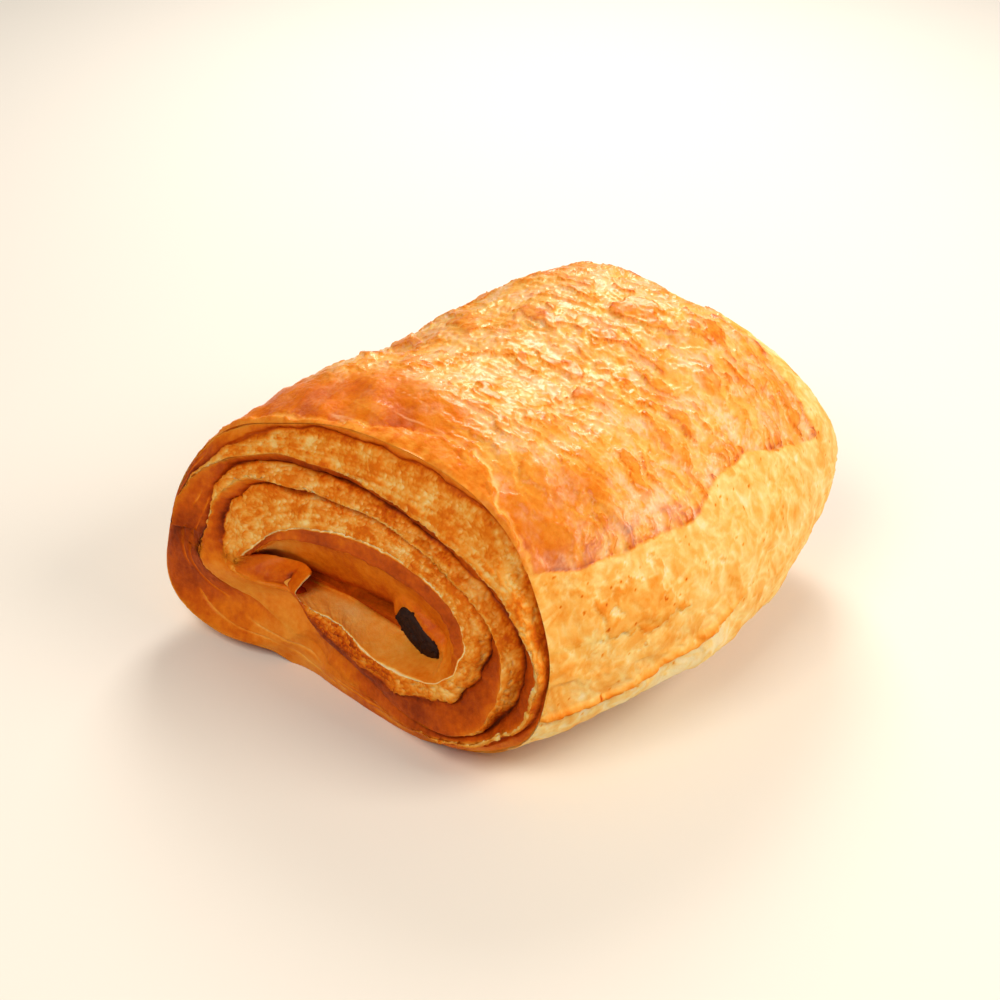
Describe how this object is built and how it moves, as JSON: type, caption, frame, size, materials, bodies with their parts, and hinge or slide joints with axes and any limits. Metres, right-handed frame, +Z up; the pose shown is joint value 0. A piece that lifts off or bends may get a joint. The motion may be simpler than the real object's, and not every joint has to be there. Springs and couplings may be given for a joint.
{
  "type": "pain au chocolat",
  "caption": "Baked roll of laminated dough round a stick of dark chocolate, lying on its flat underside, with the wraps and the chocolate showing at both cut ends.",
  "frame": {"origin": "middle of the underside, on the surface that the roll lies on", "axes": "+X along the roll from the near cut end to the far one, +Z up, -Y towards the roll's pale long side"},
  "size_m": [0.1072, 0.0952, 0.0541],
  "materials": {
    "baked_dough": "golden brown egg-washed crust, paler matte sides and open crumb on the cut ends",
    "dark_chocolate": "dark chocolate, dull and slightly rough from baking"
  },
  "bodies": {
    "root": {"pastry": "baked_dough", "chocolate_stick": "dark_chocolate"}
  },
  "joints": []
}
